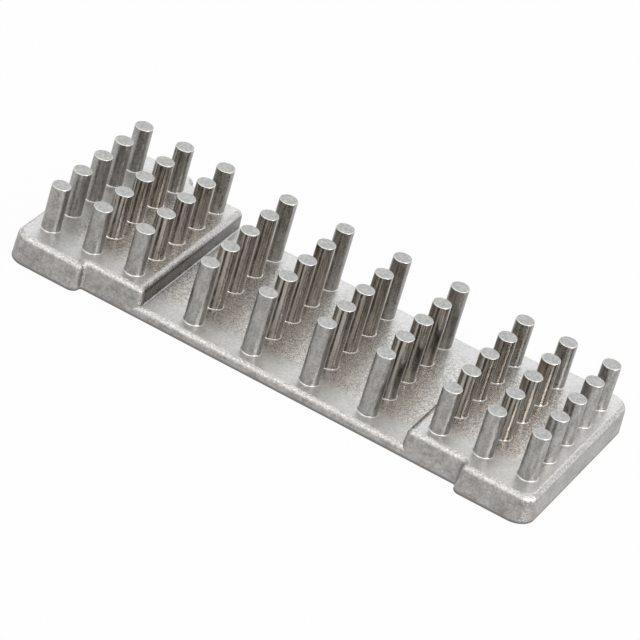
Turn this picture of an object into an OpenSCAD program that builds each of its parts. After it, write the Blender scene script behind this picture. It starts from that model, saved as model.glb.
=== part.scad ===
// Pin fin heat sink: one aluminium casting with a thin plate in the middle, a thick block
// at each end and round pins whose tips all lie in one plane.
// The length runs along X and the depth along Y. The flat underside lies at Z = 0.

/* [Pin field] */
// Rows of pins, front to back
rows = 5; // [2:1:6]
// Spacing of the rows
row_pitch = 4.25; // [3.5:0.05:6]
// Columns of pins on the thin plate
mid_cols = 4; // [2:1:6]
// Spacing of the columns on the thin plate
mid_pitch = 6.8; // [4:0.1:9]
// Columns of pins on each end block
end_cols = 3; // [2:1:4]
// Spacing of the columns on an end block
end_pitch = 5; // [3.5:0.1:7]

/* [Pins] */
// Height of the pin tips over the underside
overall_h = 8.4; // [7:0.1:14]
// Diameter of a pin at its tip
tip_d = 2; // [1.4:0.02:2.2]
// Diameter of a pin at its root
root_d = 2.06; // [1.8:0.02:2.6]
// Chamfer of a pin's tip edge
tip_c = 0.1; // [0.04:0.01:0.3]
// Width of the small flare around a pin's foot
foot_w = 0.06; // [0.03:0.01:0.2]
// Height of the small flare around a pin's foot
foot_h = 0.1; // [0.05:0.01:0.3]
// Depth to which a pin's root runs into the base
root_sink = 0.4; // [0.2:0.05:0.8]

/* [Base] */
// Thickness of the thin plate
plate_h = 1.2; // [1:0.05:2.4]
// Thickness of the end blocks
block_h = 3.2; // [2.6:0.05:4.5]
// Distance from the last column on the plate to the block's inner wall
wall_gap = 5; // [3:0.1:8]
// Distance from a block's inner wall to its first column
wall_margin = 2.6; // [2.3:0.05:5]
// Distance from a block's last column to the end of the base
end_margin = 2.55; // [2.3:0.05:6]
// Distance from the outer rows to the front and back faces of the waist
waist_margin = 2.65; // [2.3:0.05:5]
// Step from the waist out to the front and back faces of an end tab
tab_step = 1.2; // [1.2:0.05:3]
// Length of an end tab
tab_l = 8.45; // [4:0.05:9.5]

/* [Edges] */
// Draft of every side wall, in degrees
draft = 3; // [0.5:0.5:3]
// Radius of the rounded top edges
edge_r = 0.75; // [0.3:0.05:0.75]
// Plan radius of the four outer corners
corner_r = 2.1; // [1:0.1:3.5]
// Plan radius of the inside corners beside the tabs
notch_r = 0.3; // [0.1:0.02:0.3]
// Radius of the fillet along the foot of a block's inner wall
wall_foot_r = 0.15; // [0.05:0.01:0.3]

/* [Hidden] */
$fn = 64;
// Chords in the rounded upper edge of a slab
edge_steps = 8;
// Bare cast aluminium
cast_grey = [0.76, 0.75, 0.73];

// Places along X, from the middle of the part
block_x = (mid_cols - 1) / 2 * mid_pitch + wall_gap;
first_x = block_x + wall_margin;
base_x = first_x + (end_cols - 1) * end_pitch + end_margin;
tab_x = base_x - tab_l;

// Places along Y, from the middle of the part
row_y = (rows - 1) / 2 * row_pitch;
waist_y = row_y + waist_margin;
tab_y = waist_y + tab_step;

// How far a drafted wall has moved in at a height, and how far the rim of a slab reaches in
function wall_in(z) = z * tan(draft);
function rim_in(h) = wall_in(h - edge_r) + edge_r / cos(draft);

// Plan radius of the small outside corners: a ball of the edge radius closes each of them
step_r = rim_in(block_h);

// Points of a slab's rounded upper edge, from its wall at x = edge up to its top at height h
function edge_arc(edge, h) = [
    for (i = [0 : edge_steps])
        let (a = draft + (90 - draft) * i / edge_steps)
            [edge - rim_in(h) + edge_r * cos(a), h - edge_r + edge_r * sin(a)]
];

// Section of a slab's rim, from x = inner out to the wall's foot at x = edge
module rim_section(inner, edge, h) {
    polygon([
        [inner, 0],
        [edge, 0],
        each edge_arc(edge, h),
        if (edge - rim_in(h) > inner) [inner, h]
    ]);
}

// Full section of a slab that is rounded along both of its upper edges
module slab_section(y, h) {
    arc = edge_arc(y, h);
    polygon([
        [y, 0],
        each arc,
        for (i = [edge_steps : -1 : 0]) [-arc[i].x, arc[i].y],
        [-y, 0]
    ]);
}

// Straight run of a slab along X, from x0 to x1
module x_run(x0, x1, y, h) {
    translate([x0, 0, 0]) rotate([90, 0, 90])
        linear_extrude(x1 - x0) slab_section(y, h);
}

// Outer end of a slab at x: a rounded wall across the depth and two rounded corners
module slab_end(x, y, h, r) {
    translate([x - r, 0, 0]) rotate([90, 0, 0])
        linear_extrude(2 * (y - r), center = true) rim_section(0, r, h);
    for (side = [0, 1])
        mirror([0, side, 0]) translate([x - r, y - r, 0])
            rotate_extrude(angle = 90) rim_section(0, r, h);
}

// Rounded inside corner where the waist meets a tab
module notch_corner(h) {
    outer = sqrt(2) * (notch_r + rim_in(h));
    translate([tab_x - notch_r, waist_y + notch_r, 0])
        rotate([0, 0, -90]) rotate_extrude(angle = 90)
            mirror([1, 0]) rim_section(-outer, -notch_r, h);
}

// End block: the waist's run into the tab, the tab itself and the two inside corners
module end_block() {
    run_end = base_x - corner_r;
    x_run(block_x + step_r, run_end, waist_y, block_h);
    mirror([1, 0, 0]) slab_end(-block_x, waist_y, block_h, step_r);
    x_run(tab_x + step_r, run_end, tab_y, block_h);
    mirror([1, 0, 0]) slab_end(-tab_x, tab_y, block_h, step_r);
    slab_end(base_x, tab_y, block_h, corner_r);
    for (side = [0, 1])
        mirror([0, side, 0]) notch_corner(block_h);
}

// Fillet along the foot of a block's inner wall, on the plate
module wall_foot() {
    foot_x = block_x + wall_in(plate_h);
    translate([foot_x, 0, plate_h]) rotate([90, 0, 0])
        linear_extrude(2 * (waist_y - step_r), center = true)
            difference() {
                translate([-wall_foot_r, -wall_foot_r]) square([2 * wall_foot_r, 2 * wall_foot_r]);
                translate([-wall_foot_r, wall_foot_r]) circle(wall_foot_r);
            }
}

// One pin that stands on a surface at height z: root, foot flare, taper and chamfered tip
module pin(z) {
    rotate_extrude()
        polygon([
            [0, z - root_sink],
            [root_d / 2, z - root_sink],
            [root_d / 2 + foot_w, z],
            [root_d / 2, z + foot_h],
            [tip_d / 2, overall_h - tip_c],
            [tip_d / 2 - tip_c, overall_h],
            [0, overall_h]
        ]);
}

// Column of pins at x, one in each row
module pin_column(x, z) {
    for (row = [0 : rows - 1])
        translate([x, row * row_pitch - row_y, 0]) pin(z);
}

module heat_sink() {
    color(cast_grey) {
        x_run(-block_x - step_r, block_x + step_r, waist_y, plate_h);
        for (col = [0 : mid_cols - 1])
            pin_column((col - (mid_cols - 1) / 2) * mid_pitch, plate_h);
        for (side = [0, 1])
            mirror([side, 0, 0]) {
                end_block();
                wall_foot();
                for (col = [0 : end_cols - 1])
                    pin_column(first_x + col * end_pitch, block_h);
            }
    }
}

heat_sink();
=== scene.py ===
"""Pin fin heat sink: one grey aluminium casting, dressed and lit in a plain studio.

The length runs along X, the depth along Y, and the flat underside lies at Z = 0.
Sizes are named in millimetres, and MM turns them into Blender's metres.
"""
from math import cos, pi, radians, sin, sqrt, tan

import bmesh
import bpy
from mathutils import Matrix, Vector


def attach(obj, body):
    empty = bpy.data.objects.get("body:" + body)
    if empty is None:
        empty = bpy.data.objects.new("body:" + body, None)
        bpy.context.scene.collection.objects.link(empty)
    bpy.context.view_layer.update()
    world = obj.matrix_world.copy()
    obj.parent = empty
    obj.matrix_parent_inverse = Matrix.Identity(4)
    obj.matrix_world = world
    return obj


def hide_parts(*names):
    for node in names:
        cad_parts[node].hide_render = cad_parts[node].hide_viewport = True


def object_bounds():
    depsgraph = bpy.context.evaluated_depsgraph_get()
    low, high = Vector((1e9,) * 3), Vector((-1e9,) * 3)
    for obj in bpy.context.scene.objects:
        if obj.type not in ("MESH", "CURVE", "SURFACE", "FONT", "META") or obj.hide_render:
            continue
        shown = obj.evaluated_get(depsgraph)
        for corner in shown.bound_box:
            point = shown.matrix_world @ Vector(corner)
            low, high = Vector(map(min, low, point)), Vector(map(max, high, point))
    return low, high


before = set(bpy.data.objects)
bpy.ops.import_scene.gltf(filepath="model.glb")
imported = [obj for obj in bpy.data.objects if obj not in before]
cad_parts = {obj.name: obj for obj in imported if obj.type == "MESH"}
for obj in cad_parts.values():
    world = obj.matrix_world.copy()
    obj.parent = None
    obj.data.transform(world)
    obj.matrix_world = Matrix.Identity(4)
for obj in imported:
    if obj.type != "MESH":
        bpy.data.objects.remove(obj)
cad_low, cad_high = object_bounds()
bpy.context.scene.view_settings.view_transform = "Standard"

MM = 0.001

# ---------------------------------------------------------------- sizes
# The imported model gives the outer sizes
END_X = cad_high.x / MM
TAB_Y = cad_high.y / MM
TIP_Z = cad_high.z / MM

# Pin field
ROWS = 5
ROW_PITCH = 4.25
MID_COLUMNS = 4
MID_PITCH = 6.8
END_COLUMNS = 3
END_PITCH = 5.0
LAST_MARGIN = 2.55

# Base
PLATE_H = 1.2
BLOCK_H = 3.2
WALL_X = 15.2
TAB_LENGTH = 8.45
TAB_STEP = 1.2
DRAFT = radians(3)
EDGE_R = 0.75
EDGE_STEPS = 8
CORNER_R = 2.1
SMALL_CORNER_R = 0.9
NOTCH_R = 0.3
WALL_FOOT_R = 0.15
UNDERSIDE_BREAK = 0.05

# Pins
TIP_R = 1.0
ROOT_R = 1.03
TIP_EDGE_R = 0.1
FLARE = 0.12
ROOT_SINK = 0.4
PIN_SIDES = 40

# Derived places
TAB_X = END_X - TAB_LENGTH
WAIST_Y = TAB_Y - TAB_STEP

# Distances from the middle between which one finish fades into another
ROW_FADE = (5.6, 9.0)
COLUMN_FADE = (25.0, 27.2)
WALL_FADE = (15.8, 16.4)
WAIST_FADE = (10.0, 10.6)

# Order of the finishes on the piece
SKIN, FLANK, TIP = range(3)


# ---------------------------------------------------------------- mesh helpers
def new_object(name, bm):
    """Object that holds a finished bmesh, still in millimetres."""
    bmesh.ops.recalc_face_normals(bm, faces=bm.faces)
    mesh = bpy.data.meshes.new(name)
    bm.to_mesh(mesh)
    bm.free()
    obj = bpy.data.objects.new(name, mesh)
    bpy.context.scene.collection.objects.link(obj)
    return obj


def arc(centre_x, centre_z, radius, start, stop, steps):
    """Points of an arc in the XZ plane, from one angle to another in degrees."""
    angles = [radians(start + (stop - start) * i / steps) for i in range(steps + 1)]
    return [(centre_x + radius * cos(a), centre_z + radius * sin(a)) for a in angles]


# ---------------------------------------------------------------- the casting's base
def rounded_plan(bm, corners):
    """Flat face through the corners (x, y, radius), each of them rounded to its radius."""
    points = [bm.verts.new((x, y, 0)) for x, y, _ in corners]
    bm.faces.new(points)
    for point, (_, _, radius) in zip(points, corners):
        if radius:
            bmesh.ops.bevel(bm, geom=[point], offset=radius, segments=12, profile=0.5,
                            affect="VERTICES", material=-1)
    bm.normal_update()
    return bm.faces[:][0]


def rim_rings(height):
    """Steps (inset, lift) up the drafted wall and over the rounded edge of a slab."""
    shoulder = height - EDGE_R
    profile = [(0, 0), (shoulder * tan(DRAFT), shoulder)]
    centre = shoulder * tan(DRAFT) + EDGE_R / cos(DRAFT)
    for i in range(EDGE_STEPS + 1):
        turn = DRAFT + (radians(90) - DRAFT) * i / EDGE_STEPS
        profile.append((centre - EDGE_R * cos(turn), shoulder + EDGE_R * sin(turn)))
    return [(b[0] - a[0], b[1] - a[1]) for a, b in zip(profile, profile[1:])]


def slab(name, corners, height):
    """Slab with a rounded plan, drafted walls and a rounded upper edge."""
    bm = bmesh.new()
    top = rounded_plan(bm, corners)
    for inset, lift in rim_rings(height):
        bmesh.ops.inset_region(bm, faces=[top], thickness=inset, depth=lift,
                               use_even_offset=True, use_boundary=True)
    rim = [edge for edge in bm.edges if edge.is_boundary]
    underside = bmesh.ops.edgeloop_fill(bm, edges=rim)["faces"]
    bmesh.ops.recalc_face_normals(bm, faces=bm.faces)
    bmesh.ops.bevel(bm, geom=underside[0].edges[:], offset=UNDERSIDE_BREAK, segments=2,
                    profile=0.5, affect="EDGES", material=-1)
    bmesh.ops.remove_doubles(bm, verts=bm.verts, dist=0.001)
    return new_object(name, bm)


def block_corners(side):
    """Corners of an end block's plan: the waist's run and the wider tab at its outer end."""
    half = [
        (WALL_X, WAIST_Y, SMALL_CORNER_R),
        (TAB_X, WAIST_Y, NOTCH_R),
        (TAB_X, TAB_Y, SMALL_CORNER_R),
        (END_X, TAB_Y, CORNER_R),
    ]
    ring = [(x, -y, r) for x, y, r in half] + half[::-1]
    if side < 0:
        ring = [(-x, y, r) for x, y, r in ring][::-1]
    return ring


# ---------------------------------------------------------------- pins
def pin_profile(floor_z):
    """Half section of a pin, from its buried root up to the middle of its tip."""
    flare = arc(ROOT_R + FLARE, floor_z + FLARE, FLARE, 270, 180, 4)
    tip_edge = arc(TIP_R - TIP_EDGE_R, TIP_Z - TIP_EDGE_R, TIP_EDGE_R, 0, 90, 4)
    root = [(0, floor_z - ROOT_SINK), (ROOT_R + FLARE, floor_z - ROOT_SINK)]
    return root + flare + tip_edge + [(0, TIP_Z)]


def turned_pin(floor_z):
    """Closed shell of one pin, turned from its half section."""
    bm = bmesh.new()
    points = [bm.verts.new((x, 0, z)) for x, z in pin_profile(floor_z)]
    line = [bm.edges.new(pair) for pair in zip(points, points[1:])]
    bmesh.ops.spin(bm, geom=points + line, axis=(0, 0, 1), cent=(0, 0, 0),
                   angle=radians(360), steps=PIN_SIDES, use_merge=True)
    bmesh.ops.remove_doubles(bm, verts=bm.verts, dist=0.0005)
    bmesh.ops.recalc_face_normals(bm, faces=bm.faces)
    return bm


def pin_places():
    """Every pin's (x, y, z of the surface it stands on)."""
    rows = [(row - (ROWS - 1) / 2) * ROW_PITCH for row in range(ROWS)]
    middle = [(col - (MID_COLUMNS - 1) / 2) * MID_PITCH for col in range(MID_COLUMNS)]
    end = [END_X - LAST_MARGIN - col * END_PITCH for col in range(END_COLUMNS)]
    columns = [(x, PLATE_H) for x in middle]
    columns += [(side * x, BLOCK_H) for side in (-1, 1) for x in end]
    return [(x, y, z) for x, z in columns for y in rows]


def pin_field(name):
    """All pins as closed shells in one mesh."""
    field = bmesh.new()
    for x, y, floor_z in pin_places():
        pin = turned_pin(floor_z)
        bmesh.ops.translate(pin, verts=pin.verts, vec=(x, y, 0))
        shell = bpy.data.meshes.new("shell")
        pin.to_mesh(shell)
        pin.free()
        field.from_mesh(shell)
        bpy.data.meshes.remove(shell)
    return new_object(name, field)


def wall_foot(name, side):
    """Concave strip that fillets the foot of a block's inner wall to the plate."""
    bm = bmesh.new()
    foot_x = WALL_X + PLATE_H * tan(DRAFT)
    hollow = arc(foot_x - WALL_FOOT_R, PLATE_H + WALL_FOOT_R, WALL_FOOT_R, -90, 0, 5)
    buried = [(foot_x + WALL_FOOT_R, PLATE_H + WALL_FOOT_R),
              (foot_x + WALL_FOOT_R, PLATE_H - WALL_FOOT_R),
              (foot_x - WALL_FOOT_R, PLATE_H - WALL_FOOT_R)]
    run = WAIST_Y - SMALL_CORNER_R
    points = [bm.verts.new((side * x, -run, z)) for x, z in hollow + buried]
    section = bm.faces.new(points)
    strip = bmesh.ops.extrude_face_region(bm, geom=[section], use_keep_orig=True)["geom"]
    moved = [v for v in strip if isinstance(v, bmesh.types.BMVert)]
    bmesh.ops.translate(bm, verts=moved, vec=(0, 2 * run, 0))
    return new_object(name, bm)


def united(target, others):
    """Mesh of target with the others joined to it as one shell."""
    for other in others:
        join = target.modifiers.new(other.name, "BOOLEAN")
        join.operation = "UNION"
        join.solver = "MANIFOLD"
        join.object = other
    shape = bpy.data.meshes.new_from_object(
        target.evaluated_get(bpy.context.evaluated_depsgraph_get()))
    target.modifiers.clear()
    target.data = shape
    for other in others:
        bpy.data.objects.remove(other)
    return target


def casting():
    """The whole casting as one closed shell."""
    inside = WALL_X + 2.5
    plate_corners = [(-inside, -WAIST_Y, 0), (inside, -WAIST_Y, 0),
                     (inside, WAIST_Y, 0), (-inside, WAIST_Y, 0)]
    body = slab("casting", plate_corners, PLATE_H)
    blocks = [slab("block_left", block_corners(-1), BLOCK_H),
              slab("block_right", block_corners(1), BLOCK_H)]
    feet = [wall_foot("foot_left", -1), wall_foot("foot_right", 1)]
    body = united(body, blocks + feet + [pin_field("pins")])
    body.data.transform(Matrix.Scale(MM, 4))
    return body


# ---------------------------------------------------------------- shader helpers
class Value:
    """A number that a shader node puts out: arithmetic on it adds the Math nodes."""

    def __init__(self, paint, socket):
        self.paint = paint
        self.socket = socket

    def maths(self, operation, first, second):
        return self.paint.node("Math", "Value", operation=operation, inputs=(first, second))

    def __add__(self, other):
        return self.maths("ADD", self, other)

    __radd__ = __add__

    def __mul__(self, other):
        return self.maths("MULTIPLY", self, other)

    __rmul__ = __mul__

    def __sub__(self, other):
        return self.maths("SUBTRACT", self, other)

    def __rsub__(self, other):
        return self.maths("SUBTRACT", other, self)

    def above(self, low, high):
        """0 below low, 1 above high and smooth between them."""
        return self.paint.node("MapRange", "Result", interpolation_type="SMOOTHSTEP",
                               inputs={"Value": self, "From Min": low, "From Max": high})


class Paint:
    """Node tree of a material or the world, filled one node at a time."""

    def __init__(self, owner):
        owner.use_nodes = True
        self.tree = owner.node_tree
        self.tree.nodes.clear()

    def node(self, kind, output=None, inputs=(), **settings):
        """Adds a node with its settings and inputs. Gives back one output, or the node."""
        made = self.tree.nodes.new("ShaderNode" + kind)
        for name, setting in settings.items():
            setattr(made, name, setting)
        pairs = inputs.items() if isinstance(inputs, dict) else enumerate(inputs)
        for name, given in pairs:
            self.feed(made.inputs[name], given)
        return made if output is None else Value(self, made.outputs[output])

    def feed(self, socket, given):
        """Sets a socket to a number or colour, or links it to another node's output."""
        if isinstance(given, Value):
            self.tree.links.new(given.socket, socket)
        elif isinstance(given, tuple) and socket.type == "RGBA":
            socket.default_value = (*given, 1)
        else:
            socket.default_value = given

    def object_place(self):
        return self.node("TexCoord", "Object")

    def noise(self, place, size, detail=3.0, roughness=0.5):
        """Noise whose features are about size millimetres wide, from 0 to 1."""
        return self.node("TexNoise", "Fac", inputs={
            "Vector": place, "Scale": 1 / (size * MM), "Detail": detail,
            "Roughness": roughness})

    def mixed(self, factor, first, second):
        """Colour between two others."""
        return self.node("Mix", 2, data_type="RGBA", inputs={0: factor, 6: first, 7: second})

    def bump(self, height, distance, strength=1.0, normal=None):
        """Normal of a surface with the given relief, its depth in millimetres."""
        inputs = {"Height": height, "Distance": distance * MM, "Strength": strength}
        if normal:
            inputs["Normal"] = normal
        return self.node("Bump", "Normal", inputs=inputs)


# ---------------------------------------------------------------- finishes
def beyond(distance, near, far):
    """0 nearer to the middle than one distance in millimetres, 1 past another."""
    return (distance * distance).above((near * MM) ** 2, (far * MM) ** 2)


def exposed(across, along):
    """Places that handling and tumbling reach: the outer rows of pins and the margins."""
    return 1 - (1 - beyond(along, *ROW_FADE)) * (1 - beyond(across, *COLUMN_FADE))


def cast_skin():
    """Skin of the base: smooth flat tops, edges with a bright band that is partly wear and partly
    a painted highlight, and darker sandy walls whose darkness is partly painted shade, with
    painted contact shade at their foot and painted shade on the inner walls.
    """
    material = bpy.data.materials.new("cast_skin")
    paint = Paint(material)
    place = paint.object_place()
    across, along, up = (paint.node("SeparateXYZ", axis, inputs=(place,)) for axis in "XYZ")
    open_air = exposed(across, along)
    rise = paint.node("SeparateXYZ", "Z", inputs=(paint.node("TexCoord", "Normal"),))
    off_wall = rise.above(0.3, 0.62)
    flat = rise.above(0.998, 0.9999)
    # Mask of the blocks' inner walls and the waist: less wear there, and it carries the painted
    # shade of the inner walls.
    sheltered_and_shaded = (1 - beyond(across, *WALL_FADE)) * (1 - beyond(along, *WAIST_FADE))
    # Bright band where the rounded edges meet the flat tops: partly wear, partly a painted
    # highlight.
    worn_and_highlit = rise.above(0.92, 0.97) * (1 - flat) * (1 - sheltered_and_shaded)
    sandy = (1 - flat) * (1 - sheltered_and_shaded * 0.8)
    grain = paint.noise(place, 0.26, detail=3.0, roughness=0.65).above(0.35, 0.65)
    speckle = paint.noise(place, 0.15, detail=2.0, roughness=0.6).above(0.25, 0.75)
    blotch = paint.noise(place, 0.7, detail=3.0, roughness=0.6).above(0.35, 0.65)
    cloud = paint.noise(place, 3.0, detail=3.0).above(0.3, 0.7)
    wave = paint.noise(place, 1.6, detail=2.0)
    margin = paint.mixed(grain * 0.6 + cloud * 0.4, (0.62, 0.625, 0.618), (0.825, 0.83, 0.824))
    bay = paint.mixed(grain * 0.6 + speckle * 0.4, (0.37, 0.357, 0.335), (0.95, 0.935, 0.915))
    top = paint.mixed(open_air, bay, margin)
    edge = paint.mixed(grain * 0.35 + speckle * 0.35 + worn_and_highlit * 0.3,
                       (0.34, 0.33, 0.322), (0.98, 0.968, 0.955))
    mottle = grain * 0.4 + blotch * 0.3 + cloud * 0.3
    # Walls are coloured much darker than the tops: partly a sandier finish, partly painted shade
    # of the dimmer light that reaches them.
    wall = paint.mixed(mottle, (0.22, 0.211, 0.202), (0.485, 0.47, 0.455))
    # Painted shade: the inner walls among the pins are coloured far darker than the outer walls.
    shaded_inner_wall = paint.mixed(mottle, (0.10, 0.096, 0.089), (0.23, 0.223, 0.21))
    wall = paint.mixed(sheltered_and_shaded, wall, shaded_inner_wall)
    # Painted contact shade: the walls are coloured darker in their lowest 0.4 mm, where they meet
    # the floor.
    foot_shaded = paint.mixed(up.above(0.15 * MM, 0.4 * MM), (0.19, 0.182, 0.174), wall)
    tone = paint.mixed(off_wall, foot_shaded, paint.mixed(flat, edge, top))
    rough = (grain + speckle * 0.6) * (sandy * 1.5 - worn_and_highlit * 0.5 + 0.7)
    relief = paint.bump(rough, 0.010, 1.0, normal=paint.bump(wave, 0.02, 0.5))
    surface = paint.node("BsdfPrincipled", "BSDF", inputs={
        "Base Color": tone, "Metallic": 1.0,
        "Roughness": speckle * 0.10 + sandy * 0.10 + open_air * flat * 0.14 + 0.20,
        "Normal": relief})
    paint.node("OutputMaterial", inputs={"Surface": surface})
    return material


def pin_flank():
    """Side of a pin: smoother and browner, with faint marks along its length and a painted
    highlight round its foot.
    """
    material = bpy.data.materials.new("pin_flank")
    paint = Paint(material)
    place = paint.object_place()
    across, along = (paint.node("SeparateXYZ", axis, inputs=(place,)) for axis in "XY")
    open_air = exposed(across, along)
    rise = paint.node("SeparateXYZ", "Z", inputs=(paint.node("TexCoord", "Normal"),))
    # Painted highlight: a pale ring round each pin's foot, where the flare turns into the flank.
    foot = rise.above(0.15, 0.45)
    drawn = paint.node("Mapping", "Vector", inputs={"Vector": place, "Scale": (1, 1, 0.05)})
    streaked = paint.node("Mapping", "Vector", inputs={"Vector": place, "Scale": (1, 1, 0.3)})
    marks = paint.noise(drawn, 0.22, detail=2.0).above(0.3, 0.7)
    patch = paint.noise(streaked, 0.5, detail=3.0, roughness=0.6).above(0.35, 0.65)
    grain = paint.noise(place, 0.25, detail=2.0).above(0.3, 0.7)
    brown = paint.mixed(marks * 0.35 + patch * 0.4 + grain * 0.25,
                        (0.25, 0.226, 0.198), (0.45, 0.418, 0.38))
    grey = paint.mixed(marks * 0.1 + patch * 0.4 + grain * 0.5,
                       (0.22, 0.213, 0.203), (0.45, 0.442, 0.425))
    tone = paint.mixed(foot, paint.mixed(open_air, brown, grey), (0.72, 0.715, 0.70))
    relief = paint.bump(grain * (0.4 + open_air) + marks * (1 - open_air * 0.6), 0.006, 1.0)
    surface = paint.node("BsdfPrincipled", "BSDF", inputs={
        "Base Color": tone, "Metallic": 1.0,
        "Roughness": patch * 0.12 + open_air * 0.16 + 0.15, "Normal": relief})
    paint.node("OutputMaterial", inputs={"Surface": surface})
    return material


def pin_tip():
    """End of a pin: a pale matt face inside a brighter edge, partly from wear and partly a
    painted highlight.
    """
    material = bpy.data.materials.new("pin_tip")
    paint = Paint(material)
    place = paint.object_place()
    rise = paint.node("SeparateXYZ", "Z", inputs=(paint.node("TexCoord", "Normal"),))
    face = rise.above(0.9, 0.99)
    grain = paint.noise(place, 0.25, detail=3.0).above(0.3, 0.7)
    matt = paint.mixed(grain, (0.40, 0.40, 0.396), (0.58, 0.58, 0.574))
    # The rounded rim is coloured brighter than the face: partly wear, partly a painted highlight.
    tone = paint.mixed(face, (0.70, 0.70, 0.68), matt)
    relief = paint.bump(grain, 0.012, 1.0)
    surface = paint.node("BsdfPrincipled", "BSDF", inputs={
        "Base Color": tone, "Metallic": 1.0, "Roughness": 0.38, "Normal": relief})
    paint.node("OutputMaterial", inputs={"Surface": surface})
    return material


def dress(piece):
    """Gives every face its finish, and smooths the round ones."""
    mesh = piece.data
    mesh.materials.clear()
    for finish in (cast_skin(), pin_flank(), pin_tip()):
        mesh.materials.append(finish)
    pins = pin_places()
    for face in mesh.polygons:
        x, y, z = (part / MM for part in face.center)
        px, py, floor_z = min(pins, key=lambda pin: (pin[0] - x) ** 2 + (pin[1] - y) ** 2)
        reach = sqrt((px - x) ** 2 + (py - y) ** 2)
        if z > TIP_Z - 0.8 * TIP_EDGE_R:
            face.material_index = TIP
        elif reach < ROOT_R + FLARE and z > floor_z + 0.02 * FLARE:
            face.material_index = FLANK
        else:
            face.material_index = SKIN
        face.use_smooth = True
    mesh.set_sharp_from_angle(angle=radians(35))
    even = piece.modifiers.new("even_shading", "WEIGHTED_NORMAL")
    even.keep_sharp = True
    even.mode = "FACE_AREA"
    even.weight = 100


# ---------------------------------------------------------------- studio
CAMERA_AIM = (0.597, -2.544, 4.270)
CAMERA_REACH = 421.76
CAMERA_ROLL = radians(17.094)
LAMP_REACH = 420
# Light of the room for rays that spread from the floor, and how white the floor is seen
ROOM = (0.72, 0.72, 0.72)
FLOOR_WHITE = 0.96


def heading(azimuth, elevation):
    """Unit direction at an azimuth, counted from the front to the right, and an elevation."""
    turn, lift = radians(azimuth), radians(elevation)
    return Vector((sin(turn) * cos(lift), -cos(turn) * cos(lift), sin(lift)))


def camera():
    """Long lens from the front right, looking down on the part and rolled."""
    aim = Vector(CAMERA_AIM) * MM
    back = heading(18.740, 32.202)
    data = bpy.data.cameras.new("camera")
    data.sensor_width = 36
    data.lens = 236.2
    data.clip_start = 0.01
    data.clip_end = 10
    made = bpy.data.objects.new("camera", data)
    made.location = aim + back * CAMERA_REACH * MM
    turn = (-back).to_track_quat("-Z", "Y").to_matrix() @ Matrix.Rotation(CAMERA_ROLL, 3, "Z")
    made.rotation_euler = turn.to_euler()
    bpy.context.scene.collection.objects.link(made)
    bpy.context.scene.camera = made


def softbox(name, place, size, radiance, colour):
    """Square soft lamp at a place in millimetres. It faces the part and is as bright as named."""
    data = bpy.data.lights.new(name, "AREA")
    data.shape = "SQUARE"
    data.size = size * MM
    data.energy = radiance * pi * data.size ** 2
    data.color = colour
    made = bpy.data.objects.new(name, data)
    made.location = Vector(place) * MM
    made.rotation_euler = (-made.location).to_track_quat("-Z", "Y").to_euler()
    made.visible_camera = False
    bpy.context.scene.collection.objects.link(made)


def backdrop_share(paint, share):
    """How much of the plain white is seen by the camera, in mirrored rays and through glass."""
    ray = paint.node("LightPath")
    camera_ray, glossy, through = (
        Value(paint, ray.outputs[name])
        for name in ("Is Camera Ray", "Is Glossy Ray", "Is Transmission Ray"))
    return (camera_ray + glossy + through) * share


def floor():
    """Wide pale floor that keeps a faint shadow."""
    bm = bmesh.new()
    bmesh.ops.create_grid(bm, x_segments=1, y_segments=1, size=2000)
    made = new_object("floor", bm)
    made.data.transform(Matrix.Scale(MM, 4))
    material = bpy.data.materials.new("floor_white")
    paint = Paint(material)
    lit = paint.node("BsdfPrincipled", "BSDF", inputs={
        "Base Color": (0.73, 0.74, 0.77), "Roughness": 0.4})
    plain = paint.node("Emission", "Emission", inputs={"Color": (1.0, 1.0, 1.0)})
    surface = paint.node("MixShader", "Shader", inputs={
        0: backdrop_share(paint, FLOOR_WHITE), 1: lit, 2: plain})
    paint.node("OutputMaterial", inputs={"Surface": surface})
    made.data.materials.append(material)


def studio_light():
    """White surround with three soft lamps: a key, one low on the right, one high in front."""
    world = bpy.data.worlds.new("studio")
    bpy.context.scene.world = world
    paint = Paint(world)
    seen = paint.mixed(backdrop_share(paint, 1.0), ROOM, (1.0, 1.0, 1.0))
    surface = paint.node("Background", "Background", inputs={"Color": seen, "Strength": 1.0})
    paint.node("OutputWorld", inputs={"Surface": surface})
    softbox("key", heading(59, 28) * LAMP_REACH, 120, 3.5, (1.0, 0.98, 0.92))
    softbox("side", heading(80, 9) * LAMP_REACH, 230, 7.5, (1.0, 0.92, 0.90))
    softbox("front", heading(-30, 62) * LAMP_REACH, 250, 1.5, (1.0, 0.98, 0.91))


# ---------------------------------------------------------------- the part
camera()
floor()
studio_light()

piece = casting()
dress(piece)
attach(piece, "root")
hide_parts("heat_sink")
